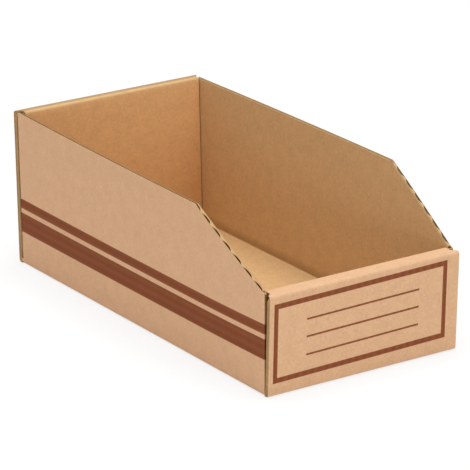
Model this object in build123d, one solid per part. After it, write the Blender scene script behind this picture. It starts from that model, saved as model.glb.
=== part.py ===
# Open-fronted storage bin, folded from one sheet of corrugated card.
# Millimetres. X runs across the bin, Y from its low front to its back, Z up.
# The origin lies under the middle of the bin, on the surface that it stands on.
from build123d import *
import os

# The card
board = 3.0            # thickness of the sheet
crease_radius = 0.8    # inside radius of a pressed crease
bend_radius = 2.0      # outside radius of every crease and fold
layer_gap = 0.4        # air between layers that lie against each other

# The bin, outside
length = 300.0         # floor, from the front crease to the back crease
width = 153.0          # floor, from one side crease to the other
side_height = 109.5    # level top edge of a side wall
back_height = 110.1    # top of the rolled back, along its outer edge
front_height = 69.5    # top of the rolled front
slope_run = 78.2       # from the front to where a side's top edge starts down

# How the folded card stands
back_lean = 6.0        # the back opens outwards by this much at its top
front_lean = 0.6       # the front opens outwards by this much at its top
side_bow = 4.2         # a side wall bulges by this much where its slope starts
front_spring = 2.2     # the front flaps stand off the outer panel by this much more at their top
back_spring = 0.2      # the same for the back flaps

# Rolled ends
roll_radius_share = 0.33   # inside radius of a roll's two turns, of the room inside the roll
back_roof_rise = 0.5       # the top of the rolled back climbs by this much across the room inside it
roll_taper = 2.0           # depth over which a roll narrows, from its outer panel inwards
edge_gap = 0.5             # air between an inner layer's side edge and the side wall
flap_parting = 14.0        # between the ends of the two flaps inside a rolled end

# Tabs that lock the inner layers into the floor
tab_width = 32.0
tab_spacing = 72.0         # between the middles of an end's two tabs
tab_recess = 0.4           # a tab's tip stays this far above the underside
slot_clearance = 0.5       # air around a tab in its slot

overrun = 5.0              # how far a cut runs past the card

half_length = length / 2
half_width = width / 2
fold_top = board + crease_radius
foot_height = board + layer_gap
inner_half_width = half_width - board - edge_gap


class End:
    """Places in one rolled end: facing is -1 at the front and 1 at the back."""

    def __init__(self, facing, height, lean, spring, roof_rise):
        self.facing = facing
        self.spring = spring
        self.room = board + 2 * layer_gap + spring
        self.turn_radius = roll_radius_share * self.room
        self.lean_slope = lean / (height - 2 * board)
        self.top = height
        self.roof = height - board
        self.flap_top = self.roof - self.turn_radius - layer_gap
        self.crease = Vector(self.outer_panel(board), board)
        self.outer_turn = Vector(self.outer_panel(self.roof), self.roof)
        self.inner_turn = Vector(self.inner_layer(self.roof), self.roof + roof_rise)
        self.foot = Vector(self.inner_layer(foot_height), foot_height)

    def outer_panel(self, height):
        """Y of the inside face of the outer panel."""
        return self.facing * (half_length - board + self.lean_slope * (height - board))

    def flap(self, height):
        """Y of the inside face of the side flaps, which spring away from the outer panel."""
        spring = self.spring * (height - fold_top) / (self.top - fold_top)
        return self.outer_panel(height) - self.facing * (layer_gap + spring + board)

    def inner_layer(self, height):
        """Y of the inside face of the inner layer, which looks at the flaps."""
        return self.outer_panel(height) - self.facing * self.room


front = End(-1, front_height, front_lean, front_spring, 0)
back = End(1, back_height, back_lean, back_spring, back_roof_rise)


def bent_sheet(turns, radii):
    """Section of a sheet whose inside face goes through the turns, always bending left."""
    outward = []
    for start, stop in zip(turns, turns[1:]):
        along = (stop - start).normalized()
        outward.append(Vector(along.Y, -along.X))
    outside = [turns[0] + outward[0] * board]
    for turn, before, after in zip(turns[1:], outward, outward[1:]):
        outside.append(turn + (before + after) * (board / (1 + before.dot(after))))
    outside.append(turns[-1] + outward[-1] * board)
    faces = [FilletPolyline(*turns, radius=radii)]
    faces += [FilletPolyline(*outside, radius=bend_radius)]
    cut_ends = [Line(turns[0], outside[0]), Line(turns[-1], outside[-1])]
    return make_face([edge for piece in faces + cut_ends for edge in piece.edges()])


def end_to_end_strip():
    """Inner layer, rolled front, floor, rolled back and inner layer, bent from one strip."""
    turns = [front.foot, front.inner_turn, front.outer_turn, front.crease]
    turns += [back.crease, back.outer_turn, back.inner_turn, back.foot]
    radii = [front.turn_radius, front.turn_radius, crease_radius]
    radii += [crease_radius, back.turn_radius, back.turn_radius]
    return extrude(Plane.YZ * bent_sheet(turns, radii), amount=half_width, both=True)


def roll_end_trim(end):
    """What is cut from one end of a roll: its taper, and the margin beside the inner layer."""
    start = (board + foot_height) / 2
    outer_edge = end.outer_panel(start)
    narrowed = outer_edge - end.facing * roll_taper
    clear = end.inner_layer(start) - end.facing * (board + overrun)
    past = half_width + overrun
    corners = [(half_width, outer_edge), (past, outer_edge), (past, clear)]
    corners += [(inner_half_width, clear), (inner_half_width, narrowed)]
    rise = Vector(0, end.facing * end.lean_slope, 1)
    plan = Pos(0, 0, start) * make_face(Polyline(*corners, close=True))
    return extrude(plan, amount=(end.top + overrun - start) * rise.length, dir=rise.normalized())


def side_crease():
    """The crease along one long edge of the floor, up to where the side wall stands straight."""
    wall = half_width - board
    turns = [Vector(wall - fold_top, board), Vector(wall, board), Vector(wall, fold_top + board)]
    section = bent_sheet(turns, [crease_radius])
    keep = half_length - board
    fold = extrude(Plane.XZ * section, amount=keep, both=True)
    return fold & Box(width + overrun, length, fold_top, align=(Align.CENTER, Align.CENTER, Align.MIN))


def side_plan(height, bow):
    """A side wall with its flaps, cut level at a height: two faces one board apart."""
    flap_end = flap_parting / 2
    slope_start = slope_run - half_length
    rails = []
    for outward, radius in ((0, crease_radius), (board, bend_radius)):
        wall = half_width - board + outward
        front_face = front.flap(height) - outward
        back_face = back.flap(height) + outward
        front_turn = JernArc((wall - radius, front_face), (1, 0), radius, 90)
        back_turn = JernArc((wall, back_face - radius), (0, 1), radius, 90)
        bulge = (wall + bow, slope_start)
        if bow:
            wall_edges = [TangentArc(bulge, front_turn @ 1, tangent=(0, -1))]
            wall_edges += [TangentArc(bulge, back_turn @ 0, tangent=(0, 1))]
        else:
            wall_edges = [Line(bulge, front_turn @ 1), Line(bulge, back_turn @ 0)]
        front_flap = Line((flap_end, front_face), front_turn @ 0)
        back_flap = Line(back_turn @ 1, (flap_end, back_face))
        rails.append([front_flap, front_turn, *wall_edges, back_turn, back_flap])
    inside, outside = rails
    ends = [Line(inside[0] @ 0, outside[0] @ 0), Line(inside[-1] @ 1, outside[-1] @ 1)]
    return Pos(0, 0, height) * make_face([piece.edge() for piece in inside + outside + ends])


def side_outline_trim(reach, fold):
    """What is cut from a side as far out as reach: the slope, and all above the flaps past the wall's ends."""
    slope_start = slope_run - half_length
    slope_end = front.flap(front_height) + fold
    step = back.flap(side_height) - fold
    above = side_height + overrun
    slope = [(slope_start, side_height), (slope_end, front_height), (slope_end, front.flap_top)]
    slope += [(-length, front.flap_top), (-length, above), (slope_start, above)]
    back_step = [(step, back.flap_top), (length, back.flap_top), (length, above), (step, above)]
    outlines = make_face(Polyline(*slope, close=True)) + make_face(Polyline(*back_step, close=True))
    return extrude(Plane.YZ * outlines, amount=reach)


def side_with_flaps():
    """One side wall and its two flaps, ruled from the straight crease to the bowed top edge."""
    foot = side_plan(fold_top, 0)
    top = side_plan(side_height, side_bow)
    over_flaps = side_outline_trim(half_width - board, crease_radius)
    over_wall = side_outline_trim(width, bend_radius - board)
    return loft([foot, top], ruled=True) - over_flaps - over_wall


def tab(end):
    """A tab of an inner layer, carried on down into the floor."""
    down = (end.foot - end.inner_turn).normalized()
    inward = Vector(end.facing * down.Y, -end.facing * down.X) * board
    root = end.foot - down * board
    tip = end.foot + down * (foot_height - tab_recess)
    section = make_face(Polyline(root, tip, tip + inward, root + inward, close=True))
    return extrude(Plane.YZ * section, amount=tab_width / 2, both=True)


def tab_slot(end):
    """The slot in the floor that takes a tab."""
    middle = end.inner_layer(board / 2) - end.facing * board / 2
    opening = Box(tab_width + 2 * slot_clearance, board + 2 * slot_clearance, 2 * board)
    return Pos(0, middle, 0) * opening


def both_sides(piece):
    """A piece of the right half, with its mirror image on the left."""
    return [piece, mirror(piece, about=Plane.YZ)]


def folded_sheet():
    """The whole bin: one sheet, with every layer in its place."""
    sheet = end_to_end_strip()
    floor_margin = Pos(half_width, 0, 0) * Box(2 * fold_top, length - 2 * board, 2 * fold_top)
    tab_place = Pos(tab_spacing / 2, 0, 0)
    cuts = both_sides(floor_margin)
    joined = both_sides(side_crease()) + both_sides(side_with_flaps())
    for end in (front, back):
        cuts += both_sides(roll_end_trim(end)) + both_sides(tab_place * tab_slot(end))
        joined += both_sides(tab_place * tab(end))
    for cut in cuts:
        sheet -= cut
    for piece in joined:
        sheet += piece
    return sheet


def stood_on_origin(piece):
    """The piece moved so that the middle of its outline stands on the origin."""
    outline = piece.bounding_box()
    return Pos(-outline.center().X, -outline.center().Y, -outline.min.Z) * piece


folded_bin = stood_on_origin(folded_sheet())
os.makedirs("parts", exist_ok=True)
export_step(folded_bin, "parts/folded_bin.step")
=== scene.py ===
import math

import bmesh
import bpy
import numpy as np
from mathutils import Matrix, Vector


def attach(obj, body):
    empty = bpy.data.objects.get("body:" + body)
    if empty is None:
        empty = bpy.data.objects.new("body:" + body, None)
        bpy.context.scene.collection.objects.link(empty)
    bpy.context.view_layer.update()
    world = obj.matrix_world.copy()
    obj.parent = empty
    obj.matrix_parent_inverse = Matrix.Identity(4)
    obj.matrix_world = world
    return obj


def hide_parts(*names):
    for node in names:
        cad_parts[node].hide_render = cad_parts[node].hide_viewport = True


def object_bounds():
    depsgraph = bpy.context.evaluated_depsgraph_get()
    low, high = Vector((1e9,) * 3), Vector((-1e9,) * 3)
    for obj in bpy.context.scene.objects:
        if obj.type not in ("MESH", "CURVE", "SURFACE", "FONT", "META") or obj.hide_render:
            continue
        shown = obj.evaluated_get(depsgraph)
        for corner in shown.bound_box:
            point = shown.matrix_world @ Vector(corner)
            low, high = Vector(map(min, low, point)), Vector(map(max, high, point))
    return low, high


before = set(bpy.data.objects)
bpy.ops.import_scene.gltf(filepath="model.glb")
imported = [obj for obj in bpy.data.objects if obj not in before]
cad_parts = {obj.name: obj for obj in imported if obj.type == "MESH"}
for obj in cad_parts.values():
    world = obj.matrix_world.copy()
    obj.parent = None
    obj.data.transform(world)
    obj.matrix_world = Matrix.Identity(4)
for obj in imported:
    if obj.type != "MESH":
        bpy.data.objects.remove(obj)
cad_low, cad_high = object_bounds()

# The card, in millimetres
MM = 0.001
BOARD = 3.0
CREASE_RADIUS = 0.8
BEND_RADIUS = 2.0
LAYER_GAP = 0.4
FLUTE_PITCH = 6.0

# The bin, outside
LENGTH = 300.0
WIDTH = 153.0
SIDE_HEIGHT = 109.5
BACK_HEIGHT = 110.1
FRONT_HEIGHT = 69.5
SLOPE_RUN = 78.2

# How the folded card stands
BACK_LEAN = 6.0
FRONT_LEAN = 0.6
SIDE_BOW = 4.2
FRONT_SPRING = 2.2
BACK_SPRING = 0.2

# Rolled ends, and the tabs that lock them into the floor
ROLL_RADIUS_SHARE = 0.33
BACK_ROOF_RISE = 0.5
ROLL_TAPER = 2.0
EDGE_GAP = 0.5
FLAP_PARTING = 14.0
TAB_WIDTH = 32.0
TAB_SPACING = 72.0
TAB_RECESS = 0.4
SLOT_CLEARANCE = 0.5

# Cut edges of the card
EDGE_ROUNDING = 0.22
LINER = 0.4
STEP_RUN = 0.05
MERGE_WITHIN = 0.005
SHARP_FROM = 35.0           # degrees

HALF_LENGTH = LENGTH / 2
HALF_WIDTH = WIDTH / 2
FOLD_TOP = BOARD + CREASE_RADIUS
FOOT_HEIGHT = BOARD + LAYER_GAP
INNER_HALF_WIDTH = HALF_WIDTH - BOARD - EDGE_GAP
SLOPE_START = SLOPE_RUN - HALF_LENGTH
FLOOR_EDGE = HALF_WIDTH - FOLD_TOP

# Profiles of cut edges, from the outside liner to the inside one, as (share of the board, depth)
LINER_SHARE = LINER / BOARD
LIP = (0.07, -EDGE_ROUNDING)
LINER_LIP = (LINER_SHARE, -EDGE_ROUNDING)
BROAD_LIP = (0.30, -EDGE_ROUNDING)
FAR_LIP = (0.93, -EDGE_ROUNDING)
CUT_OF_FOLD = [LIP, BROAD_LIP, (0.36, 0.5), (0.84, 0.5), (0.87, 0.1), (0.95, 0.1)]
LEVEL_CUT = {1: CUT_OF_FOLD, -1: [LIP, BROAD_LIP, (0.36, 2.0), (0.84, 2.0), (0.87, 0.35), (0.95, 0.3)]}
SLOPED_CUT = [LIP, LINER_LIP, (0.15, 6.0), (0.70, 6.0), (0.73, 0.1), FAR_LIP]
CUT_OF_PANEL = [LIP, LINER_LIP, (0.22, 0.5), (0.78, 0.5), (1 - LINER_SHARE, -EDGE_ROUNDING), FAR_LIP]
TUCKED_SHARE = 0.5          # of a front corner fold, from its flap, that lies in the shade behind the front and is painted in shade
FLUTE_FROM = 0.6            # depth from which a cut shows the inside of the flutes

# Finishes of the card's faces, in the order of their material slots
# PAINTED_SHADE is dark kraft painted where shade falls: on tucked flaps and folds, on the flaps' level cuts
# and inside open flutes
SIDE_LINER, FRONT_LINER, PLAIN_LINER, INNER_LINER, INSIDE_LINER, CUT_EDGE, PANEL_EDGE, PAINTED_SHADE = range(8)

ARC_STEPS = 7
TURN = 0.5                  # a turn counts as this much of a run more than the run before it
PANEL_STEP = 6.0


def unit(vector):
    """The vector at length one."""
    return vector / np.linalg.norm(vector)


def spread(start, stop, step):
    """Places from start to stop, evenly, about a step apart."""
    return np.linspace(start, stop, max(2, int(round(abs(stop - start) / step)) + 1))


class End:
    """Places in one rolled end, as (Y, Z): facing is -1 at the front and 1 at the back."""

    def __init__(self, facing, height, lean, spring, roof_rise):
        self.facing = facing
        self.spring = spring
        self.room = BOARD + 2 * LAYER_GAP + spring
        self.turn_radius = ROLL_RADIUS_SHARE * self.room
        self.top = height
        self.lean_slope = lean / (height - 2 * BOARD)
        self.roof = height - BOARD
        self.flap_top = self.roof - self.turn_radius - LAYER_GAP
        self.crease = np.array([self.outer_panel(BOARD), BOARD])
        self.outer_turn = np.array([self.outer_panel(self.roof), self.roof])
        self.inner_turn = np.array([self.inner_layer(self.roof), self.roof + roof_rise])
        self.foot = np.array([self.inner_layer(FOOT_HEIGHT), FOOT_HEIGHT])
        bend = math.pi / 2 - math.atan(self.lean_slope)
        self.floor_end = self.crease[0] - facing * CREASE_RADIUS * math.tan(bend / 2)

    def outer_panel(self, height):
        """Y of the inside face of the outer panel."""
        return self.facing * (HALF_LENGTH - BOARD + self.lean_slope * (height - BOARD))

    def flap(self, height):
        """Y of the inside face of the side flaps, which spring away from the outer panel."""
        spring = self.spring * (height - FOLD_TOP) / (self.top - FOLD_TOP)
        return self.outer_panel(height) - self.facing * (LAYER_GAP + spring + BOARD)

    def inner_layer(self, height):
        """Y of the inside face of the inner layer, which looks at the flaps."""
        return self.outer_panel(height) - self.facing * self.room

    def roll_half_width(self, y, height):
        """Half the strip's width where it rolls over: it tapers from the outer panel to the inner layer."""
        depth = self.facing * (self.outer_panel(height) - y)
        return np.interp(depth, [0, ROLL_TAPER], [HALF_WIDTH, INNER_HALF_WIDTH])


front = End(-1, FRONT_HEIGHT, FRONT_LEAN, FRONT_SPRING, 0)
back = End(1, BACK_HEIGHT, BACK_LEAN, BACK_SPRING, BACK_ROOF_RISE)


class CardFaces:
    """Gathers the faces of the folded card. Places that meet become one vertex at the end."""

    def __init__(self):
        self.places = []
        self.flats = []
        self.faces = []
        self.finishes = []

    def vertex(self, place, flat):
        self.places.append(place)
        self.flats.append(flat)
        return len(self.places) - 1

    def face(self, corners, finish):
        self.faces.append(corners)
        self.finishes.append(finish)

    def sheet(self, outside, inside, flat, cells, liners, left_open, cut_finishes):
        """Both liners of a gridded sheet, with a plain cut wherever it ends, apart from edges left open.

        The first cut finish is for edges along the stations, and the second for edges across them.
        """
        rows, columns = cells.shape
        outer = [[self.vertex(p, f) for p, f in zip(*line)] for line in zip(outside, flat)]
        inner = [[self.vertex(p, f) for p, f in zip(*line)] for line in zip(inside, flat)]
        for i, j in zip(*np.nonzero(cells)):
            ring = [(i, j), (i + 1, j), (i + 1, j + 1), (i, j + 1)]
            outer_finish, inner_finish = liners[i]
            self.face([outer[a][b] for a, b in ring], outer_finish)
            self.face([inner[a][b] for a, b in reversed(ring)], inner_finish)
            beside = [(i, j - 1), (i + 1, j), (i, j + 1), (i - 1, j)]
            for start, stop, (a, b) in zip(ring, ring[1:] + ring[:1], beside):
                carries_on = 0 <= a < rows and 0 <= b < columns and cells[a, b]
                if carries_on or left_open(start, stop):
                    continue
                quad = [outer[start[0]][start[1]], inner[start[0]][start[1]]]
                quad += [inner[stop[0]][stop[1]], outer[stop[0]][stop[1]]]
                self.face(quad, cut_finishes[int(start[0] == stop[0])])

    def cut(self, rail, lips, groove, ends):
        """A cut edge with its profile: rail lists (outside place, inside place, way in, flat place, profile).

        lips, groove and ends are the finishes of the edge, of the flutes open in it and of its two ends.
        """
        lines, deep = [], []
        for outside, inside, inward, flat, profile in rail:
            line = [self.vertex(outside, flat)]
            for share, depth in profile:
                line.append(self.vertex(outside + (inside - outside) * share + inward * depth, flat))
            line.append(self.vertex(inside, flat))
            lines.append(line)
            depths = [0, *[depth for share, depth in profile], 0]
            deep.append([max(pair) > FLUTE_FROM for pair in zip(depths, depths[1:])])
        for line, following, here, there in zip(lines, lines[1:], deep, deep[1:]):
            for k, fluted in enumerate(a and b for a, b in zip(here, there)):
                corners = [line[k], line[k + 1], following[k + 1], following[k]]
                self.face(corners, groove if fluted else lips)
        self.face(lines[0][::-1], ends)
        self.face(lines[-1], ends)


def bent_path(turns, radii, places):
    """Stations of a sheet that bends left at every turn: (run, inside place, outside place) in Y and Z.

    places[k] holds where stations lie along run k, as shares of its straight part.
    """
    along = [unit(stop - start) for start, stop in zip(turns, turns[1:])]
    outward = [np.array([way[1], -way[0]]) for way in along]
    bends = [math.acos(np.dot(before, after)) for before, after in zip(along, along[1:])]
    cuts = [0, *[radius * math.tan(bend / 2) for radius, bend in zip(radii, bends)], 0]
    stations = []
    for k, way in enumerate(along):
        start = turns[k] + way * cuts[k]
        stop = turns[k + 1] - way * cuts[k + 1]
        for share in places[k]:
            place = start + (stop - start) * share
            stations.append((k, place, place + outward[k] * BOARD))
        if k == len(radii):
            break
        half_turn = math.tan(bends[k] / 2)
        inside_centre = stop - outward[k] * radii[k]
        outside_stop = turns[k + 1] + outward[k] * BOARD + way * (BOARD - BEND_RADIUS) * half_turn
        outside_centre = outside_stop - outward[k] * BEND_RADIUS
        for step in range(1, ARC_STEPS):
            places_out = []
            for centre, radius, share in ((inside_centre, radii[k], step / ARC_STEPS),
                                          (outside_centre, BEND_RADIUS, (step - 1) / (ARC_STEPS - 2))):
                angle = bends[k] * share
                places_out.append(centre + (outward[k] * math.cos(angle) + way * math.sin(angle)) * radius)
            stations.append((k + TURN, *places_out))
    return stations


# Where the floor has stations along Y, which the side walls' feet share
WALL_FRONT = front.flap(FOLD_TOP) + CREASE_RADIUS
WALL_BACK = back.flap(FOLD_TOP) - CREASE_RADIUS
FLOOR_FRONT = front.floor_end
FLOOR_BACK = back.floor_end


def slot_edges(end):
    """Y of the two long edges of an end's slots."""
    middle = end.inner_layer(BOARD / 2) - end.facing * BOARD / 2
    reach = BOARD / 2 + SLOT_CLEARANCE
    return [middle - reach, middle + reach]


SLOT_FRONT = slot_edges(front)
SLOT_BACK = slot_edges(back)
END_STATIONS = [FLOOR_FRONT + STEP_RUN, WALL_FRONT, SLOT_FRONT[0]]
END_STATIONS += [SLOT_BACK[1], WALL_BACK, FLOOR_BACK - STEP_RUN]
MIDDLE_STATIONS = [*spread(SLOT_FRONT[1], SLOPE_START, PANEL_STEP)]
MIDDLE_STATIONS += [*spread(SLOPE_START, SLOT_BACK[0], PANEL_STEP)[1:]]
CREASE_STATIONS = sorted(END_STATIONS + MIDDLE_STATIONS)
WALL_STATIONS = [y for y in CREASE_STATIONS if WALL_FRONT <= y <= WALL_BACK]
FLOOR_STATIONS = [FLOOR_FRONT, *CREASE_STATIONS, FLOOR_BACK]

# Columns across the strip, between the edges of the tabs and slots
TAB_EDGES = np.array([TAB_SPACING - TAB_WIDTH, TAB_SPACING + TAB_WIDTH]) / 2
SLOT_EDGES = TAB_EDGES + np.array([-SLOT_CLEARANCE, SLOT_CLEARANCE])
COLUMN_COUNTS = [4, 6, 8, 6, 4]
COLUMN_KEYS = np.cumsum([0, *COLUMN_COUNTS])
TAB_COLUMNS = [slice(COLUMN_KEYS[1], COLUMN_KEYS[2]), slice(COLUMN_KEYS[3], COLUMN_KEYS[4])]
INNER_FRONT, ROLL_FRONT, PANEL_FRONT, FLOOR, PANEL_BACK, ROLL_BACK, INNER_BACK = range(7)


def strip_half_width(run, y, z):
    """Half the strip's width at a station on one of its runs or turns."""
    if run == FLOOR:
        return FLOOR_EDGE if FLOOR_FRONT < y < FLOOR_BACK else HALF_WIDTH - EDGE_ROUNDING
    if run in (INNER_FRONT, INNER_BACK):
        return INNER_HALF_WIDTH - EDGE_ROUNDING
    if run < PANEL_FRONT:
        return front.roll_half_width(y, z) - EDGE_ROUNDING
    if run > PANEL_BACK:
        return back.roll_half_width(y, z) - EDGE_ROUNDING
    return HALF_WIDTH - EDGE_ROUNDING


def strip_columns(run, y, z):
    """X of the strip's columns at a station."""
    inner, outer = TAB_EDGES if run in (INNER_FRONT, INNER_BACK) else SLOT_EDGES
    half = strip_half_width(run, y, z)
    keys = [-half, -outer, -inner, inner, outer, half]
    return np.interp(np.arange(COLUMN_KEYS[-1] + 1), COLUMN_KEYS, keys)


def strip_stations():
    """Stations from the front's tabs, over its roll, along the floor and over the back's roll to its tabs."""
    turns = [front.foot, front.inner_turn, front.outer_turn, front.crease]
    turns += [back.crease, back.outer_turn, back.inner_turn, back.foot]
    radii = [front.turn_radius, front.turn_radius, CREASE_RADIUS]
    radii += [CREASE_RADIUS, back.turn_radius, back.turn_radius]
    floor_shares = (np.array(FLOOR_STATIONS) - FLOOR_FRONT) / (FLOOR_BACK - FLOOR_FRONT)
    tab = FOOT_HEIGHT - TAB_RECESS
    places = []
    for start, stop in zip(turns, turns[1:]):
        run = np.linalg.norm(stop - start)
        places.append(spread(0, run, PANEL_STEP) / run)
    front_tab_share = tab / np.linalg.norm(front.inner_turn - front.foot)
    back_tab_share = tab / np.linalg.norm(back.inner_turn - back.foot)
    places[INNER_FRONT] = [-front_tab_share, *places[INNER_FRONT]]
    places[FLOOR] = floor_shares
    places[INNER_BACK] = [*places[INNER_BACK], 1 + back_tab_share]
    return bent_path(turns, radii, places)


def add_strip(card):
    """The strip that makes both rolled ends and the floor, open along the floor's long edges."""
    stations = strip_stations()
    runs = [run for run, inner, outer in stations]
    inside, outside = [], []
    for run, inner, outer in stations:
        for face, (y, z) in ((inside, inner), (outside, outer)):
            face.append([np.array([x, y, z]) for x in strip_columns(run, y, z)])
    middles = np.array([(inner + outer) / 2 for run, inner, outer in stations])
    distance = np.concatenate([[0], np.cumsum(np.linalg.norm(np.diff(middles, axis=0), axis=1))])
    first_floor = runs.index(FLOOR)
    distance += FLOOR_FRONT - distance[first_floor]
    flat = [[(place[0], along) for place in line] for line, along in zip(inside, distance)]

    cells = np.ones((len(stations) - 1, COLUMN_KEYS[-1]), bool)
    for end_row in (0, -1):
        cells[end_row] = False
        for columns in TAB_COLUMNS:
            cells[end_row, columns] = True
    floor_y = {round(y, 3): first_floor + k for k, y in enumerate(FLOOR_STATIONS)}
    for slot in (SLOT_FRONT, SLOT_BACK):
        rows = slice(floor_y[round(slot[0], 3)], floor_y[round(slot[1], 3)])
        for columns in TAB_COLUMNS:
            cells[rows, columns] = False
    liners = []
    # The back roll's outer turn and roof take the darker panel edge colour, and its inner turn the inside
    # liner's colour: painted shade on the outside liner
    shown = {INNER_FRONT: INNER_LINER, PANEL_FRONT: FRONT_LINER, PANEL_BACK + TURN: PANEL_EDGE}
    shown |= {ROLL_BACK: PANEL_EDGE, ROLL_BACK + TURN: INSIDE_LINER, INNER_BACK: INNER_LINER}
    for run, following in zip(runs, runs[1:]):
        straight = following if following == int(following) else run
        liners.append((shown.get(straight, PLAIN_LINER), INSIDE_LINER))

    last_column = COLUMN_KEYS[-1]
    open_rows = range(first_floor + 1, first_floor + len(FLOOR_STATIONS) - 1)

    def left_open(start, stop):
        return start[1] == stop[1] and start[1] in (0, last_column)

    card.sheet(outside, inside, flat, cells, liners, left_open, (CUT_EDGE, CUT_EDGE))
    for column, inward in ((0, np.array([1, 0, 0])), (last_column, np.array([-1, 0, 0]))):
        for rows in (range(1, open_rows[0] + 1), range(open_rows[-1], len(stations) - 1)):
            rail = []
            for i in rows:
                rail.append((outside[i][column], inside[i][column], inward, flat[i][column], CUT_OF_PANEL))
            card.cut(rail, PANEL_EDGE, PAINTED_SHADE, PANEL_EDGE)


# Parts of a side's plan, from the end of its front flap to the end of its back flap
FRONT_FLAP, FRONT_FOLD, FRONT_WALL, BACK_WALL, BACK_FOLD, BACK_FLAP = range(6)


def bowed(wall, bow, stop, share):
    """A place on a wall's plan, from the middle of its bulge (share 0) to its end (share 1)."""
    run = stop - SLOPE_START
    if not bow:
        return wall, SLOPE_START + run * share
    radius = (run * run + bow * bow) / (2 * bow)
    angle = math.asin(abs(run) / radius) * share
    reach = math.copysign(radius * math.sin(angle), run)
    return wall + bow - radius * (1 - math.cos(angle)), SLOPE_START + reach


FOLD_STEPS = np.arange(ARC_STEPS) / ARC_STEPS
TALL_FOLD_STEPS = 5         # of a front corner fold, from its wall, that the slope carries on over


def fold_place(end, height, share):
    """(X, Y) on both faces of an upright corner fold, from the flap (share 0) to the wall (share 1)."""
    angle = math.pi / 2 * share
    wall = HALF_WIDTH - BOARD
    flap = end.flap(height)
    inside = np.array([wall, flap]) + CREASE_RADIUS * np.array(
        [math.sin(angle) - 1, -end.facing * (1 - math.cos(angle))])
    if share in (0, 1):
        step = np.array([0, end.facing * BOARD]) if share == 0 else np.array([BOARD, 0])
        return inside, inside + step
    turned = math.pi / 2 * min(max((share * ARC_STEPS - 1) / (ARC_STEPS - 2), 0), 1)
    outside = np.array([wall + BOARD, flap + end.facing * BOARD]) + BEND_RADIUS * np.array(
        [math.sin(turned) - 1, -end.facing * (1 - math.cos(turned))])
    return inside, outside


def plan_place(part, share, height, bow, outward):
    """(X, Y) on the plan of the right side, cut level at a height; outward is 0 on the inside face."""
    wall = HALF_WIDTH - BOARD + outward
    flap_end = FLAP_PARTING / 2
    fold_start = HALF_WIDTH - BOARD - CREASE_RADIUS
    end = front if part <= FRONT_WALL else back
    if part in (FRONT_FOLD, BACK_FOLD):
        inside, outside = fold_place(end, height, share if part == FRONT_FOLD else 1 - share)
        return inside + (outside - inside) * outward / BOARD
    if part in (FRONT_FLAP, BACK_FLAP):
        from_end = share if part == FRONT_FLAP else 1 - share
        return flap_end + (fold_start - flap_end) * from_end, end.flap(height) + end.facing * outward
    wall_end = end.flap(height) - end.facing * CREASE_RADIUS
    return bowed(wall, bow, wall_end, 1 - share if part == FRONT_WALL else share)


def side_place(part, share, z, outward):
    """A place on the right side, which is ruled from a straight foot to a bowed top."""
    foot = np.array([*plan_place(part, share, FOLD_TOP, 0, outward), FOLD_TOP])
    top = np.array([*plan_place(part, share, SIDE_HEIGHT, SIDE_BOW, outward), SIDE_HEIGHT])
    return foot + (top - foot) * (z - FOLD_TOP) / (SIDE_HEIGHT - FOLD_TOP)


SLOPE_END = side_place(FRONT_FOLD, FOLD_STEPS[-1], FRONT_HEIGHT, BOARD)[1]
SLOPE_RISE = (SIDE_HEIGHT - FRONT_HEIGHT) / (SLOPE_START - SLOPE_END)


SLOPE_PASSES = 6            # of the search for the place where a leaning line meets the slope


def top_edge(part, share):
    """Height of the side's top edge above a place on its plan."""
    if part > FRONT_WALL:
        return SIDE_HEIGHT
    z = SIDE_HEIGHT
    for _ in range(SLOPE_PASSES):
        z = SIDE_HEIGHT - SLOPE_RISE * (SLOPE_START - side_place(part, share, z, BOARD / 2)[1])
    return z


FLAP_SHARES = np.linspace(0, 1, 11)


def side_stations():
    """(part, share) along a side's plan, and the first and last stations of its wall."""
    stations = [(FRONT_FLAP, share) for share in FLAP_SHARES[:-1]]
    stations += [(FRONT_FOLD, share) for share in FOLD_STEPS]
    first = len(stations)
    for y in WALL_STATIONS:
        if y <= SLOPE_START:
            stations.append((FRONT_WALL, (y - WALL_FRONT) / (SLOPE_START - WALL_FRONT)))
        else:
            stations.append((BACK_WALL, (y - SLOPE_START) / (WALL_BACK - SLOPE_START)))
    last = len(stations)
    stations += [(BACK_FOLD, 1 - share) for share in FOLD_STEPS[::-1]]
    stations += [(BACK_FLAP, share) for share in FLAP_SHARES[1:]]
    return stations, first, last


LOW_ROWS = spread(FOLD_TOP, front.flap_top, PANEL_STEP)
BACK_FLAP_SHARE = (back.flap_top - front.flap_top) / (SIDE_HEIGHT - front.flap_top)
HIGH_STEPS = 8
HIGH_SHARES = [*np.linspace(0, BACK_FLAP_SHARE, HIGH_STEPS + 1)[1:], 1.0]
BACK_FLAP_ROWS = len(LOW_ROWS) + len(HIGH_SHARES) - 2


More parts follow.
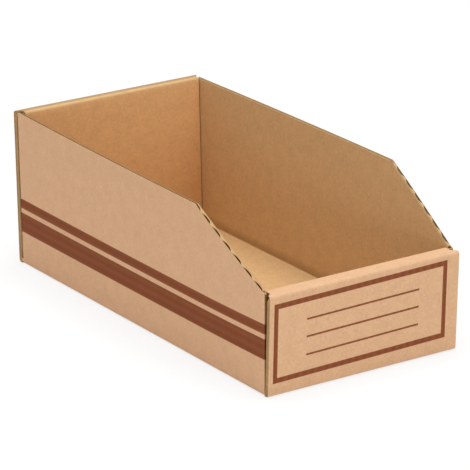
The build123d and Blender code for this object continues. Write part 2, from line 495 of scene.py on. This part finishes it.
def add_side(card, hand):
    """A side wall with its two flaps, open along the wall's foot. hand is 1 on the right, -1 on the left."""
    stations, first, last = side_stations()
    tall = first - TALL_FOLD_STEPS
    mirror = np.array([hand, 1, 1])
    outside, inside, flat = [], [], []
    along = 0
    for i, (part, share) in enumerate(stations):
        top = top_edge(part, share) - EDGE_ROUNDING if i >= tall else front.flap_top
        heights = [*LOW_ROWS, *[front.flap_top + (top - front.flap_top) * rise for rise in HIGH_SHARES]]
        outside.append([side_place(part, share, z, BOARD) * mirror for z in heights])
        inside.append([side_place(part, share, z, 0) * mirror for z in heights])
        middle = (outside[-1][0] + inside[-1][0]) / 2
        if i:
            along += np.linalg.norm(middle - previous)
        previous = middle
        flat.append([(hand * (HALF_WIDTH - BOARD / 2 + z), along) for z in heights])
    shift = WALL_FRONT - flat[first][0][1]
    flat = [[(u, v + shift) for u, v in line] for line in flat]

    cells = np.ones((len(stations) - 1, len(LOW_ROWS) + len(HIGH_SHARES) - 1), bool)
    cells[:tall, len(LOW_ROWS) - 1:] = False
    cells[last:, BACK_FLAP_ROWS:] = False
    top_row = cells.shape[1]

    def left_open(start, stop):
        ends = (start[0], stop[0])
        on_foot = start[1] == stop[1] == 0 and first <= min(ends) and max(ends) < last
        return on_foot or start[1] == stop[1] == top_row

    # Flaps and folds tucked behind the ends get painted shade on their outside faces
    liners = []
    for part, share in stations[:-1]:
        in_painted_shade = part in (FRONT_FLAP, BACK_FOLD, BACK_FLAP) or (part == FRONT_FOLD and share < TUCKED_SHARE)
        liners.append((PAINTED_SHADE if in_painted_shade else SIDE_LINER, INSIDE_LINER))
    # Level cuts of flaps and folds take the painted shade; upright cuts take the plain liner's lighter
    # colour, a painted light on cut card
    card.sheet(outside, inside, flat, cells, liners, left_open, (PAINTED_SHADE, PLAIN_LINER))
    rail = []
    for i in range(tall, last + 1):
        part, share = stations[i]
        down = unit(inside[i][-2] - inside[i][-1])
        if part < FRONT_WALL:
            profile = CUT_OF_FOLD
        elif part == FRONT_WALL and share < 1:
            profile = SLOPED_CUT
        else:
            profile = LEVEL_CUT[hand]
        rail.append((outside[i][-1], inside[i][-1], down, flat[i][-1], profile))
    # The left slope's open flutes take the painted shade; the right slope's keep the panel edge's colour
    lips, groove = (PANEL_EDGE, PANEL_EDGE) if hand > 0 else (CUT_EDGE, PAINTED_SHADE)
    # The ends of the top cut take the plain liner's lighter colour: painted light on cut card
    card.cut(rail, lips, groove, PLAIN_LINER)


def add_side_crease(card, hand):
    """The crease along one long edge of the floor, open towards the floor and towards the wall's foot."""
    outside, inside, flat = [], [], []
    angles = np.linspace(0, math.pi / 2, ARC_STEPS + 1)
    turned = np.linspace(0, math.pi / 2, ARC_STEPS - 1)
    bend = HALF_WIDTH - BEND_RADIUS
    section = [(FLOOR_EDGE, 0)]
    section += [(bend + BEND_RADIUS * math.sin(a), BEND_RADIUS * (1 - math.cos(a))) for a in turned]
    section += [(HALF_WIDTH, FOLD_TOP)]
    for y in CREASE_STATIONS:
        outside.append([np.array([hand * x, y, z]) for x, z in section])
        inside.append([np.array([hand * (FLOOR_EDGE + CREASE_RADIUS * math.sin(a)), y,
                                 FOLD_TOP - CREASE_RADIUS * math.cos(a)]) for a in angles])
        reach = (HALF_WIDTH - BOARD / 2 + FOLD_TOP - FLOOR_EDGE) / angles[-1]
        flat.append([(hand * (FLOOR_EDGE + reach * angle), y) for angle in angles])
    cells = np.ones((len(CREASE_STATIONS) - 1, ARC_STEPS), bool)

    def left_open(start, stop):
        on_floor = start[1] == stop[1] == 0
        ends = [CREASE_STATIONS[start[0]], CREASE_STATIONS[stop[0]]]
        under_wall = start[1] == stop[1] == ARC_STEPS and WALL_FRONT <= min(ends) and max(ends) <= WALL_BACK
        return on_floor or under_wall

    liners = [(SIDE_LINER, INSIDE_LINER)] * len(cells)
    card.sheet(outside, inside, flat, cells, liners, left_open, (CUT_EDGE, CUT_EDGE))


def mesh_object(name, places, faces):
    """An object at the origin with these faces, its places in millimetres about the middle of the floor."""
    mesh = bpy.data.meshes.new(name)
    mesh.from_pydata((np.array(places) + STAND) * MM, [], faces)
    piece = bpy.data.objects.new(name, mesh)
    bpy.context.scene.collection.objects.link(piece)
    return piece


card = CardFaces()
add_strip(card)
for hand in (1, -1):
    add_side_crease(card, hand)
    add_side(card, hand)

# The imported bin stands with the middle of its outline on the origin
card_ends = [min(place[1] for place in card.places), max(place[1] for place in card.places)]
STAND = np.array([0, ((cad_low.y + cad_high.y) / MM - sum(card_ends)) / 2, 0])


def folded_card(materials):
    """The whole folded sheet, closed: liners, folds, tabs, slots and cut edges."""
    piece = mesh_object("folded_card", card.places, card.faces)
    mesh = piece.data
    for material in materials:
        mesh.materials.append(material)
    mesh.polygons.foreach_set("material_index", card.finishes)
    mesh.polygons.foreach_set("use_smooth", [True] * len(mesh.polygons))
    attribute = mesh.attributes.new("flat_sheet", "FLOAT_VECTOR", "POINT")
    attribute.data.foreach_set("vector", (np.array([(u, v, 0) for u, v in card.flats]) * MM).ravel())
    shape = bmesh.new()
    shape.from_mesh(mesh)
    bmesh.ops.delete(shape, geom=[v for v in shape.verts if not v.link_faces], context="VERTS")
    bmesh.ops.remove_doubles(shape, verts=shape.verts, dist=MERGE_WITHIN * MM)
    bmesh.ops.recalc_face_normals(shape, faces=shape.faces)
    shape.to_mesh(mesh)
    shape.free()
    mesh.set_sharp_from_angle(angle=math.radians(SHARP_FROM))
    return piece


# The fluted medium that shows where the slopes cut across the flutes, as shares of the board from its outside
FLUTE_STEPS = 22
FLUTE_CREST_HEIGHT = {1: 107.1, -1: 105.8}    # of one crest on the right slope and one on the left
MEDIUM_DEPTH = 5.5
MEDIUM_RECESS = 0.05
MEDIUM_CREST_SHARE = 0.14
MEDIUM_TROUGH_SHARE = 0.63
MEDIUM_BACK_SHARE = 0.72
CREST_SHARPNESS = 2.2
SHADE_DEPTH = 0.8             # millimetres down a flute, from where it is in full shade

# Corners of the flat band, as (depth, share of the board, 1 where the flutes move it)
MEDIUM_SECTION = [(MEDIUM_RECESS, MEDIUM_CREST_SHARE, 1), (MEDIUM_RECESS, MEDIUM_BACK_SHARE, 0)]
MEDIUM_SECTION += [(MEDIUM_DEPTH, MEDIUM_BACK_SHARE, 0), (MEDIUM_DEPTH, MEDIUM_CREST_SHARE, 1)]


def medium_ribbon():
    """A flat band of medium along each slope, from the outside liner inwards, before it is fluted."""
    places, faces, flutes, depths, crossings = [], [], [], [], []
    count = int((SIDE_HEIGHT - FRONT_HEIGHT) / FLUTE_PITCH * FLUTE_STEPS)
    corners = len(MEDIUM_SECTION)
    for hand in (1, -1):
        mirror = np.array([hand, 1, 1])
        first = len(places)
        for k, share in enumerate(np.linspace(0, 1, count + 1)):
            z = top_edge(FRONT_WALL, share)
            outside, inside, lower = [
                side_place(FRONT_WALL, share, height, outward) * mirror
                for height, outward in ((z, BOARD), (z, 0), (FOLD_TOP, 0))
            ]
            across = inside - outside
            down = unit(lower - inside)
            swing = across * (MEDIUM_TROUGH_SHARE - MEDIUM_CREST_SHARE) * MM
            for depth, share_in, moves in MEDIUM_SECTION:
                places.append(outside + across * share_in + down * depth)
                flutes.append((z - FLUTE_CREST_HEIGHT[hand]) * MM)
                depths.append(depth * MM)
                crossings.append(swing * moves)
            if k:
                here, before = first + corners * k, first + corners * (k - 1)
                for a in range(corners):
                    b = (a + 1) % corners
                    faces.append([before + a, before + b, here + b, here + a][::hand])
        last = first + corners * count
        faces.append([first, first + 3, first + 2, first + 1][::hand])
        faces.append([last, last + 1, last + 2, last + 3][::hand])
    ribbon = mesh_object("fluting", places, faces)
    for name, values in (("flute", flutes), ("depth", depths)):
        ribbon.data.attributes.new(name, "FLOAT", "POINT").data.foreach_set("value", values)
    crossing = ribbon.data.attributes.new("across", "FLOAT_VECTOR", "POINT")
    crossing.data.foreach_set("vector", np.array(crossings).ravel())
    return ribbon


def fluting_tree():
    """Bends a flat band into flutes, from crests at the outside liner to troughs nearer the inside one."""
    tree = bpy.data.node_groups.new("fluting", "GeometryNodeTree")
    tree.interface.new_socket("Band", in_out="INPUT", socket_type="NodeSocketGeometry")
    for name in ("Pitch", "Crest Sharpness"):
        tree.interface.new_socket(name, in_out="INPUT", socket_type="NodeSocketFloat")
    tree.interface.new_socket("Medium", in_out="INPUT", socket_type="NodeSocketMaterial")
    tree.interface.new_socket("Fluting", in_out="OUTPUT", socket_type="NodeSocketGeometry")
    given = tree.nodes.new("NodeGroupInput").outputs
    stored = "GeometryNodeInputNamedAttribute"
    flute = add_node(tree, stored, "flute", data_type="FLOAT").outputs["Attribute"]
    across = add_node(tree, stored, "across", data_type="FLOAT_VECTOR").outputs["Attribute"]
    crest = arithmetic(tree, "POWER", ridges(tree, flute, given["Pitch"]), given["Crest Sharpness"])
    share = arithmetic(tree, "SUBTRACT", 1.0, crest)
    bent = add_node(tree, "GeometryNodeSetPosition", given["Band"])
    tree.links.new(scaled(tree, across, share), bent.inputs["Offset"])
    whole = add_node(tree, "GeometryNodeRealizeInstances", bent.outputs["Geometry"])
    finished = add_node(tree, "GeometryNodeSetMaterial", whole.outputs["Geometry"])
    tree.links.new(given["Medium"], finished.inputs["Material"])
    result = tree.nodes.new("NodeGroupOutput")
    tree.links.new(finished.outputs["Geometry"], result.inputs["Fluting"])
    return tree


def fluted_medium(material):
    """The medium along both slopes, fluted and turned into a plain mesh."""
    piece = medium_ribbon()
    tree = fluting_tree()
    flutes = piece.modifiers.new("flutes", "NODES")
    flutes.node_group = tree
    sizes = {"Pitch": FLUTE_PITCH * MM, "Crest Sharpness": CREST_SHARPNESS, "Medium": material}
    for item in tree.interface.items_tree:
        if item.name in sizes:
            flutes[item.identifier] = sizes[item.name]
    evaluated = piece.evaluated_get(bpy.context.evaluated_depsgraph_get())
    piece.data = bpy.data.meshes.new_from_object(evaluated)
    piece.modifiers.remove(flutes)
    piece.data.polygons.foreach_set("use_smooth", [True] * len(piece.data.polygons))
    piece.data.set_sharp_from_angle(angle=math.radians(SHARP_FROM))
    return piece


def add_node(tree, kind, *values, **settings):
    """A node of a kind with these settings. The values go to its first inputs, as constants or sockets."""
    made = tree.nodes.new(kind)
    for name, value in settings.items():
        setattr(made, name, value)
    for socket, value in zip(made.inputs, values):
        feed(tree, socket, value)
    return made


def feed(tree, socket, value):
    """Gives an input a constant, or joins it to another node's output."""
    if isinstance(value, bpy.types.NodeSocket):
        tree.links.new(value, socket)
    else:
        socket.default_value = value


def arithmetic(tree, operation, *values):
    """The result of one Math node."""
    return add_node(tree, "ShaderNodeMath", *values, operation=operation).outputs[0]


def ridges(tree, place, pitch):
    """One on the crest of each flute and zero halfway between two, along a place."""
    turn = arithmetic(tree, "MULTIPLY", arithmetic(tree, "DIVIDE", place, pitch), 2 * math.pi)
    return arithmetic(tree, "MULTIPLY_ADD", arithmetic(tree, "COSINE", turn), 0.5, 0.5)


def noise(tree, place, sizes):
    """The outputs of a noise texture at a place."""
    made = add_node(tree, "ShaderNodeTexNoise", place)
    for name, value in sizes.items():
        feed(tree, made.inputs[name], value)
    return made.outputs


def scaled(tree, vector, scale):
    """A vector or a colour times a number."""
    made = add_node(tree, "ShaderNodeVectorMath", vector, operation="SCALE")
    feed(tree, made.inputs["Scale"], scale)
    return made.outputs[0]


def blended(tree, factor, first, second):
    """A colour between two colours."""
    mix = tree.nodes.new("ShaderNodeMix")
    mix.data_type = "RGBA"
    colours = [socket for socket in mix.inputs if socket.type == "RGBA"]
    for socket, value in zip([mix.inputs["Factor"], *colours], (factor, first, second)):
        feed(tree, socket, value)
    return next(socket for socket in mix.outputs if socket.type == "RGBA")


def shader_group(name, inputs, outputs):
    """An empty shader node group with these named sockets, its inputs and the place for its results."""
    group = bpy.data.node_groups.new(name, "ShaderNodeTree")
    for label, kind in inputs.items():
        group.interface.new_socket(label, in_out="INPUT", socket_type=kind)
    for label, kind in outputs.items():
        group.interface.new_socket(label, in_out="OUTPUT", socket_type=kind)
    return group, group.nodes.new("NodeGroupInput").outputs, group.nodes.new("NodeGroupOutput").inputs


# Kraft paper, from broad clouds to single fibres
CLOUD_NOISE = {"Scale": 110.0, "Detail": 3.0, "Roughness": 0.65}
GRAIN_NOISE = {"Scale": 520.0, "Detail": 4.0, "Roughness": 0.62}
FIBRE_NOISE = {"Scale": 1900.0, "Detail": 2.0}
FIBRE_STRETCH = (1.0, 0.2, 1.0)
FIBRE_SHARE = 0.6             # of the grain's effect on the tone
NOISE_MIDDLE = 0.5
RIDGE_HEIGHT = 0.35           # beside the paper's own roughness, which is at most 1
RELIEF_DEPTH = 0.06           # millimetres
RELIEF_STRENGTH = 0.35
PAPER_ROUGHNESS = 0.76        # in the valleys of the relief
ROUGHNESS_RISE = 0.12         # and this much more for each unit of height
INK_COVER = 0.93              # between two flutes
INK_COVER_RISE = 0.04         # and this much more on a flute


def varied(tree, tone, source, amount):
    """A tone that a noise makes lighter and darker by up to half an amount."""
    change = arithmetic(tree, "SUBTRACT", source, NOISE_MIDDLE)
    return arithmetic(tree, "MULTIPLY_ADD", change, amount, tone)


def kraft_paper_group():
    """Kraft paper over flutes: its tone and height, from a place on the flat sheet."""
    number = "NodeSocketFloat"
    inputs = {"Flat Sheet": "NodeSocketVector", "Cloud": number, "Grain": number, "Flute Pitch": number}
    outputs = {"Tone": number, "Height": number, "Ridge": number}
    group, given, result = shader_group("kraft_paper", inputs, outputs)
    flat = given["Flat Sheet"]
    stretched = add_node(group, "ShaderNodeVectorMath", flat, FIBRE_STRETCH, operation="MULTIPLY").outputs[0]
    cloud = noise(group, flat, CLOUD_NOISE)[0]
    grain = noise(group, flat, GRAIN_NOISE)[0]
    fibre = noise(group, stretched, FIBRE_NOISE)[0]
    tone = varied(group, 1.0, cloud, given["Cloud"])
    tone = varied(group, tone, grain, given["Grain"])
    tone = varied(group, tone, fibre, arithmetic(group, "MULTIPLY", given["Grain"], FIBRE_SHARE))
    ridge = ridges(group, add_node(group, "ShaderNodeSeparateXYZ", flat).outputs["X"], given["Flute Pitch"])
    rough = arithmetic(group, "DIVIDE", arithmetic(group, "ADD", fibre, grain), 2.0)
    height = arithmetic(group, "MULTIPLY_ADD", ridge, RIDGE_HEIGHT, rough)
    for name, value in (("Tone", tone), ("Height", height), ("Ridge", ridge)):
        feed(group, result[name], value)
    return group


def ink_between_group():
    """Where ink lies between two places along one direction, with a slightly soft edge."""
    number = "NodeSocketFloat"
    inputs = {"Place": number, "From": number, "To": number, "Edge": number}
    group, given, result = shader_group("ink_between", inputs, {"Ink": number})
    sides = []
    for start, stop in (("From", "Place"), ("Place", "To")):
        past = arithmetic(group, "SUBTRACT", given[stop], given[start])
        sides.append(arithmetic(group, "ADD", arithmetic(group, "DIVIDE", past, given["Edge"]), 0.5))
    inside = add_node(group, "ShaderNodeClamp", arithmetic(group, "MINIMUM", *sides)).outputs[0]
    feed(group, result["Ink"], inside)
    return group


kraft_paper = kraft_paper_group()
ink_between = ink_between_group()

# Print, in millimetres from the middle of the floor and up from the underside
STRIPES = [(41.5, 48.3), (24.2, 38.2)]
STRIPE_RISE = 0.004           # towards the front
LABEL_LEFT, LABEL_RIGHT = -72.8, 66.6
LABEL_LOW, LABEL_HIGH = 9.85, 64.35
LABEL_UPRIGHT = 3.3           # width of the frame's upright lines
LABEL_LEVEL = 3.6             # and of its level ones
LABEL_RISE = 0.015            # towards the right
WRITING_LEFT, WRITING_RIGHT = -46.8, 43.9
WRITING_HEIGHTS = [48.85, 36.75, 24.3]
WRITING_LINE = 1.35
INK_EDGE = 0.25
INK_WANDER = 0.12
WANDER_NOISE = {"Scale": 900.0}
CREASE_BAND = 11.5            # height to which the painted shade beside a crease fades out

# Colours
# KRAFT_SIDE, KRAFT_FRONT, KRAFT_PLAIN and KRAFT_INNER are one outside liner, each set lighter or darker for
# the light on its own faces: painted light and shade
KRAFT_SIDE = (0.640, 0.386, 0.226, 1)
KRAFT_FRONT = (0.625, 0.383, 0.220, 1)
KRAFT_PLAIN = (0.650, 0.402, 0.236, 1)
KRAFT_INNER = (0.680, 0.388, 0.173, 1)
KRAFT_INSIDE = (0.605, 0.386, 0.188, 1)
KRAFT_CUT = (0.490, 0.305, 0.150, 1)
KRAFT_EDGE = (0.425, 0.278, 0.142, 1)
KRAFT_MEDIUM = (0.545, 0.352, 0.180, 1)
FLUTE_SHADE = (0.150, 0.042, 0.005, 1)
# painted shade: the dark kraft of tucked flaps and folds, level flap cuts and open flutes
PAINTED_SHADE_KRAFT = (0.195, 0.094, 0.030, 1)
CREASE_SHADE = (0.420, 0.252, 0.105, 1)
INK = (0.198, 0.049, 0.016, 1)
# the print's ink under the same painted shade, on the tucked flaps and folds
INK_IN_PAINTED_SHADE = (0.070, 0.022, 0.004, 1)

# How much a paper's tone varies, and its gloss
OUTSIDE_PAPER = {"cloud": 0.20, "grain": 0.28, "gloss": 0.1}
FRONT_PAPER = {"cloud": 0.24, "grain": 0.36, "gloss": 0.1}
INSIDE_PAPER = {"cloud": 0.26, "grain": 0.42, "gloss": 0.1}
CUT_PAPER = {"cloud": 0.20, "grain": 0.35, "gloss": 0.0}
FLUTED_PAPER = {"cloud": 0.20, "grain": 0.30, "gloss": 0.0}
SHADED_PAPER = {"cloud": 0.20, "grain": 0.20, "gloss": 0.0}


def printed(tree, place, start, stop):
    """Ink between two places along a direction, in millimetres."""
    made = tree.nodes.new("ShaderNodeGroup")
    made.node_tree = ink_between
    for name, value in (("Place", place), ("From", start * MM), ("To", stop * MM), ("Edge", INK_EDGE * MM)):
        feed(tree, made.inputs[name], value)
    return made.outputs["Ink"]


def print_place(tree):
    """X, Y and Z on the object, with the small wander of a printed edge."""
    place = tree.nodes.new("ShaderNodeTexCoord").outputs["Object"]
    wander = noise(tree, place, WANDER_NOISE)["Color"]
    middle = [NOISE_MIDDLE] * 3
    centred = add_node(tree, "ShaderNodeVectorMath", wander, middle, operation="SUBTRACT").outputs[0]
    small = scaled(tree, centred, INK_WANDER * MM)
    moved = add_node(tree, "ShaderNodeVectorMath", place, small, operation="ADD")
    return add_node(tree, "ShaderNodeSeparateXYZ", moved.outputs[0]).outputs


def stripes_ink(tree):
    """The two bands that run along a side wall and round its folds."""
    place = print_place(tree)
    height = arithmetic(tree, "MULTIPLY_ADD", place["Y"], STRIPE_RISE, place["Z"])
    narrow, wide = [printed(tree, height, low, high) for low, high in STRIPES]
    return arithmetic(tree, "MAXIMUM", narrow, wide)


def label_ink(tree):
    """The label frame on the front, and its three writing lines."""
    place = print_place(tree)
    height = arithmetic(tree, "MULTIPLY_ADD", place["X"], -LABEL_RISE, place["Z"])
    fields = []
    for inset in (0, 1):
        aside, up = inset * LABEL_UPRIGHT, inset * LABEL_LEVEL
        across = printed(tree, place["X"], LABEL_LEFT + aside, LABEL_RIGHT - aside)
        upward = printed(tree, height, LABEL_LOW + up, LABEL_HIGH - up)
        fields.append(arithmetic(tree, "MULTIPLY", across, upward))
    ink = arithmetic(tree, "SUBTRACT", *fields)
    across = printed(tree, place["X"], WRITING_LEFT, WRITING_RIGHT)
    for middle in WRITING_HEIGHTS:
        line = printed(tree, height, middle - WRITING_LINE / 2, middle + WRITING_LINE / 2)
        ink = arithmetic(tree, "MAXIMUM", ink, arithmetic(tree, "MULTIPLY", line, across))
    return ink


def painted_crease_shade(tree):
    """Painted shade along a side wall's crease, from the fold upwards."""
    place = tree.nodes.new("ShaderNodeTexCoord").outputs["Object"]
    height = add_node(tree, "ShaderNodeSeparateXYZ", place).outputs["Z"]
    stretches = []
    for low, high, start, stop in ((BOARD, FOLD_TOP, 0.0, 1.0), (FOLD_TOP, CREASE_BAND, 1.0, 0.0)):
        values = (height, low * MM, high * MM, start, stop)
        made = add_node(tree, "ShaderNodeMapRange", *values, interpolation_type="SMOOTHSTEP")
        stretches.append(made.outputs[0])
    return arithmetic(tree, "MULTIPLY", *stretches)


def flute_shade(tree):
    """Shade down inside the flutes of the medium."""
    depth = add_node(tree, "ShaderNodeAttribute", attribute_name="depth").outputs["Fac"]
    return add_node(tree, "ShaderNodeClamp", arithmetic(tree, "DIVIDE", depth, SHADE_DEPTH * MM)).outputs[0]


def kraft_material(name, colour, finish, ink=None, ink_or_shade_colour=INK):
    """Kraft card, with ink where a print is given, or painted shade where a shade mask is given."""
    material = bpy.data.materials.new(name)
    material.use_nodes = True
    tree = material.node_tree
    surface = tree.nodes["Principled BSDF"]
    flat = add_node(tree, "ShaderNodeAttribute", attribute_name="flat_sheet").outputs["Vector"]
    paper = tree.nodes.new("ShaderNodeGroup")
    paper.node_tree = kraft_paper
    sizes = {"Cloud": finish["cloud"], "Grain": finish["grain"], "Flute Pitch": FLUTE_PITCH * MM}
    for socket, value in (("Flat Sheet", flat), *sizes.items()):
        feed(tree, paper.inputs[socket], value)
    tone, height, ridge = (paper.outputs[name] for name in ("Tone", "Height", "Ridge"))
    shown = scaled(tree, colour[:3], tone)
    if ink:
        cover = arithmetic(tree, "MULTIPLY_ADD", ridge, INK_COVER_RISE, INK_COVER)
        laid = arithmetic(tree, "MULTIPLY", ink(tree), cover)
        shown = blended(tree, laid, shown, scaled(tree, ink_or_shade_colour[:3], tone))
    feed(tree, surface.inputs["Base Color"], shown)
    roughness = arithmetic(tree, "MULTIPLY_ADD", height, ROUGHNESS_RISE, PAPER_ROUGHNESS)
    feed(tree, surface.inputs["Roughness"], roughness)
    surface.inputs["Specular IOR Level"].default_value = finish["gloss"]
    relief = tree.nodes.new("ShaderNodeBump")
    relief.inputs["Strength"].default_value = RELIEF_STRENGTH
    relief.inputs["Distance"].default_value = RELIEF_DEPTH * MM
    feed(tree, relief.inputs["Height"], height)
    feed(tree, surface.inputs["Normal"], relief.outputs["Normal"])
    return material


card_piece = folded_card([
    kraft_material("side_liner", KRAFT_SIDE, OUTSIDE_PAPER, stripes_ink),
    kraft_material("front_liner", KRAFT_FRONT, FRONT_PAPER, label_ink),
    kraft_material("plain_liner", KRAFT_PLAIN, OUTSIDE_PAPER),
    kraft_material("inner_liner", KRAFT_INNER, INSIDE_PAPER),
    kraft_material("inside_liner", KRAFT_INSIDE, INSIDE_PAPER, painted_crease_shade, CREASE_SHADE),
    kraft_material("cut_card", KRAFT_CUT, CUT_PAPER),
    kraft_material("panel_edge", KRAFT_EDGE, CUT_PAPER),
    # dark kraft painted where shade falls, with its stripes also in painted shade
    kraft_material("painted_shade_card", PAINTED_SHADE_KRAFT, SHADED_PAPER, stripes_ink, INK_IN_PAINTED_SHADE),
])
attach(card_piece, "root")
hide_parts("folded_bin")

fluted_paper = kraft_material("fluted_paper", KRAFT_MEDIUM, FLUTED_PAPER, flute_shade, FLUTE_SHADE)
medium_piece = fluted_medium(fluted_paper)
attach(medium_piece, "root")

# Camera at the photograph's viewing angle, lengths in millimetres and angles in degrees
IMAGE_SIZE = 470
SENSOR = 36.0
CAMERA_AZIMUTH = -35.364
CAMERA_ELEVATION = 20.04
CAMERA_ROLL = 0.723
FOCAL_PIXELS = 3600.0
CAMERA_DISTANCE = 2460.036
CAMERA_ASIDE = 4.274
CAMERA_ABOVE = 46.2


def add_camera():
    """The camera, turned about the middle of the bin."""
    azimuth, elevation, roll = (math.radians(a) for a in (CAMERA_AZIMUTH, CAMERA_ELEVATION, CAMERA_ROLL))
    level = Vector((math.cos(azimuth), math.sin(azimuth), 0))
    ahead = Vector((math.sin(azimuth), -math.cos(azimuth), 0))
    backward = ahead * math.cos(elevation) + Vector((0, 0, math.sin(elevation)))
    upright = backward.cross(level)
    right = level * math.cos(roll) + upright * math.sin(roll)
    up = upright * math.cos(roll) - level * math.sin(roll)
    place = (backward * CAMERA_DISTANCE + right * CAMERA_ASIDE + up * CAMERA_ABOVE) * MM
    camera = bpy.data.objects.new("camera", bpy.data.cameras.new("camera"))
    camera.data.sensor_width = SENSOR
    camera.data.lens = SENSOR * FOCAL_PIXELS / IMAGE_SIZE
    camera.matrix_world = Matrix.Translation(place) @ Matrix((right, up, backward)).transposed().to_4x4()
    bpy.context.scene.collection.objects.link(camera)
    bpy.context.scene.camera = camera


# Light and floor: metres and watts, and the floor's drop below the bin in millimetres
SKY = 0.56
LAMP_DISTANCE = 2.0
SOFTBOX_WAY = (0.0, -0.03, 1.0)
SOFTBOX_SIZE = (1.4, 1.4)
SOFTBOX_POWER = 34.0
FILL_WAY = (-0.3, -1.0, 0.08)
FILL_SIZE = (1.6, 0.3)
FILL_POWER = 8.0
FLOOR_SIZE = 8.0
FLOOR_DROP = 0.3
FLOOR_COLOUR = (0.90, 0.90, 0.90, 1)
FLOOR_GLOW_SHARE = 0.75
WHITE = (1, 1, 1, 1)


def seen_straight(tree):
    """One for rays that show the background itself: from the camera, or by way of gloss or glass."""
    path = tree.nodes.new("ShaderNodeLightPath").outputs
    seen = arithmetic(tree, "MAXIMUM", path["Is Camera Ray"], path["Is Glossy Ray"])
    return arithmetic(tree, "MAXIMUM", seen, path["Is Transmission Ray"])


def add_lamp(name, way, size, power):
    """A soft lamp that shines on the bin from one way."""
    lamp = bpy.data.lights.new(name, "AREA")
    lamp.shape = "RECTANGLE"
    lamp.size, lamp.size_y = size
    lamp.energy = power
    piece = bpy.data.objects.new(name, lamp)
    way = Vector(way).normalized()
    piece.location = way * LAMP_DISTANCE
    piece.rotation_euler = way.to_track_quat("Z", "Y").to_euler()
    bpy.context.scene.collection.objects.link(piece)


def add_light():
    """A plain white sky, a soft box overhead and a low, weak fill from the front."""
    world = bpy.data.worlds.new("studio")
    bpy.context.scene.world = world
    world.use_nodes = True
    tree = world.node_tree
    background = tree.nodes["Background"]
    background.inputs["Color"].default_value = WHITE
    seen = seen_straight(tree)
    feed(tree, background.inputs["Strength"], arithmetic(tree, "MULTIPLY_ADD", seen, 1 - SKY, SKY))
    add_lamp("softbox", SOFTBOX_WAY, SOFTBOX_SIZE, SOFTBOX_POWER)
    add_lamp("fill", FILL_WAY, FILL_SIZE, FILL_POWER)


def add_floor():
    """A pale floor that shows white where nothing shades it."""
    half = FLOOR_SIZE / 2 / MM
    corners = [(-half, -half), (half, -half), (half, half), (-half, half)]
    floor = mesh_object("floor", [(x, y, -FLOOR_DROP) for x, y in corners], [(0, 1, 2, 3)])
    material = bpy.data.materials.new("pale_floor")
    material.use_nodes = True
    tree = material.node_tree
    tree.nodes.remove(tree.nodes["Principled BSDF"])
    matt = add_node(tree, "ShaderNodeBsdfDiffuse", FLOOR_COLOUR)
    glow = add_node(tree, "ShaderNodeEmission", WHITE, 1.0)
    share = arithmetic(tree, "MULTIPLY", seen_straight(tree), FLOOR_GLOW_SHARE)
    mix = add_node(tree, "ShaderNodeMixShader", share, matt.outputs[0], glow.outputs[0])
    tree.links.new(mix.outputs[0], tree.nodes["Material Output"].inputs["Surface"])
    floor.data.materials.append(material)


add_camera()
add_light()
add_floor()
bpy.context.scene.view_settings.view_transform = "Standard"
